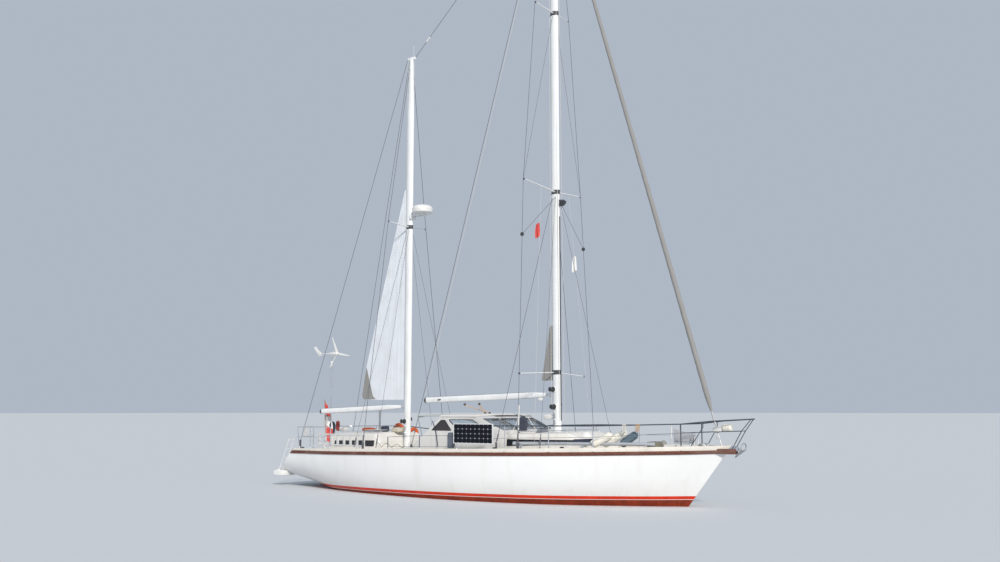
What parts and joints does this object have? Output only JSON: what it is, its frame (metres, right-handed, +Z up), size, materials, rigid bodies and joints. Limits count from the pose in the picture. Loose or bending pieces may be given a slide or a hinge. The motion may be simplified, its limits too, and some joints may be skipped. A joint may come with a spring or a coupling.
{
  "type": "sailing yacht",
  "caption": "Ketch-rigged sailing yacht with a hard doghouse, furled sails, swinging booms, a steerable rudder, opening hatches and a wind generator.",
  "frame": {"origin": "on the centreline at the waterline, midway along the hull", "axes": "+X forward to the bow, +Y to port, +Z up"},
  "size_m": [14.5223, 4.124, 18.804],
  "materials": {
    "hull_gelcoat": "white gelcoat with a red boot stripe",
    "deck_gelcoat": "cream non-slip gelcoat",
    "strake": "brown varnished wood look",
    "antifouling": "matt red-brown antifouling",
    "bronze": "cast bronze",
    "engine_iron": "painted casting",
    "teak": "oiled teak",
    "teak_light": "pale painted slats",
    "stainless": "polished stainless",
    "screen_glass": "clear toughened glass",
    "smoked_glass": "smoked acrylic",
    "awning_cloth": "grey acrylic cloth",
    "mast_paint": "satin white paint on aluminium",
    "sail_grey": "grey sun strip cloth",
    "sail_white": "white sailcloth",
    "white_plastic": "white moulding",
    "grey_plastic": "light grey moulding",
    "rail_sleeve": "dark blue-grey sleeve on steel tube",
    "solar_cells": "glazed solar cells in an aluminium frame",
    "dark_canvas": "navy lid",
    "galvanised": "galvanised steel",
    "aluminium_tube": "grey anodised tube",
    "black_plastic": "black moulding"
  },
  "bodies": {
    "root": {"hull_fore": "hull_gelcoat", "hull_core": "hull_gelcoat", "hull_side_port": "hull_gelcoat", "hull_side_starboard": "hull_gelcoat", "deck_fore": "deck_gelcoat", "deck_aft": "deck_gelcoat", "side_deck_port": "deck_gelcoat", "side_deck_starboard": "deck_gelcoat", "hull_aft": "hull_gelcoat", "rub_strake_port": "strake", "rub_strake_starboard": "strake", "bow_platform": "strake", "keel": "antifouling", "skeg": "antifouling", "drive_leg": "antifouling", "engine": "engine_iron", "cockpit_sole": "teak", "coachroof": "deck_gelcoat", "aft_trunk": "deck_gelcoat", "doghouse": "deck_gelcoat", "hardtop": "deck_gelcoat", "windscreen_glass": "screen_glass", "aft_awning": "awning_cloth", "awning_frame": "stainless", "main_mast": "mast_paint", "mizzen_mast": "mast_paint", "mainsail_clew": "sail_grey", "furled_genoa": "sail_grey", "furler_drum": "white_plastic", "main_shrouds_starboard": "stainless", "main_shrouds_port": "stainless", "mizzen_cap_shroud_starboard": "stainless", "mizzen_cap_shroud_port": "stainless", "mizzen_backstay_starboard": "stainless", "mizzen_backstay_port": "stainless", "aft_stays": "stainless", "radar": "white_plastic", "pulpit": "rail_sleeve", "pushpit_starboard": "stainless", "pushpit_port": "stainless", "rail_starboard": "rail_sleeve", "rail_port": "rail_sleeve", "solar_panel": "solar_cells", "gangway": "teak_light", "fore_locker": "deck_gelcoat", "anchor": "galvanised", "stowed_pole": "aluminium_tube"},
    "rudder": {"rudder": "antifouling"},
    "helm": {"helm_wheel": "stainless"},
    "propeller": {"propeller": "bronze"},
    "main_boom": {"main_boom": "mast_paint"},
    "mizzen_boom": {"mizzen_boom": "mast_paint", "mizzen_sail": "sail_white"},
    "wind_head": {"wind_head": "white_plastic"},
    "wind_rotor": {"wind_rotor": "black_plastic"},
    "fore_locker_lid": {"fore_locker_lid": "grey_plastic"},
    "main_hatch_lid": {"main_hatch_lid": "dark_canvas"},
    "aft_hatch_lid": {"aft_hatch_lid": "smoked_glass"},
    "companion_door": {"companion_door": "teak"},
    "boarding_ladder": {"boarding_ladder": "white_plastic"}
  },
  "joints": [
    {"name": "rudder_turn", "type": "hinge", "parent": "root", "child": "rudder", "pos_m": [-4.775, 0, -1], "axis": [0, 0, 1], "range_deg": [-35, 35]},
    {"name": "helm_turn", "type": "hinge", "parent": "root", "child": "helm", "pos_m": [0.47, 0.62, 1.37], "axis": [1, 0, 0], "range_deg": [-540, 540]},
    {"name": "propeller_spin", "type": "hinge", "parent": "root", "child": "propeller", "pos_m": [-2.81, 0, -1.02], "axis": [1, 0, 0], "continuous": true},
    {"name": "main_boom_swing", "type": "hinge", "parent": "root", "child": "main_boom", "pos_m": [1.9, 0, 2.61], "axis": [0, 0, 1], "range_deg": [-75, 75]},
    {"name": "mizzen_boom_swing", "type": "hinge", "parent": "root", "child": "mizzen_boom", "pos_m": [-3.045, 0, 2.31], "axis": [0, 0, 1], "range_deg": [-17, 17]},
    {"name": "wind_head_yaw", "type": "hinge", "parent": "root", "child": "wind_head", "pos_m": [-6.375, 0.5, 3.9], "axis": [0, 0, 1], "continuous": true},
    {"name": "wind_rotor_spin", "type": "hinge", "parent": "wind_head", "child": "wind_rotor", "pos_m": [-6.145, 0.5, 3.93], "axis": [1, 0, 0], "continuous": true},
    {"name": "fore_locker_lid_fold", "type": "hinge", "parent": "root", "child": "fore_locker_lid", "pos_m": [5.6, 0, 1.443], "axis": [1, 0, 0], "range_deg": [0, 90]},
    {"name": "main_hatch_fold", "type": "hinge", "parent": "root", "child": "main_hatch_lid", "pos_m": [1.387, -0.4875, 1.69], "axis": [0, 1, 0], "range_deg": [0, 90]},
    {"name": "aft_hatch_lift", "type": "hinge", "parent": "root", "child": "aft_hatch_lid", "pos_m": [-3.8, 0, 1.612], "axis": [0, 1, 0], "range_deg": [0, 80]},
    {"name": "companion_door_swing", "type": "hinge", "parent": "root", "child": "companion_door", "pos_m": [0.601, -0.285, 1.085], "axis": [0, 0, 1], "range_deg": [0, 90]},
    {"name": "boarding_ladder_fold", "type": "hinge", "parent": "root", "child": "boarding_ladder", "pos_m": [-7.11, -0.76, 0.455], "axis": [0, -1, 0], "range_deg": [0, 200]}
  ],
  "couplings": [
    {"joint": "helm_turn", "follows": "rudder_turn", "ratio": 15.4}
  ]
}
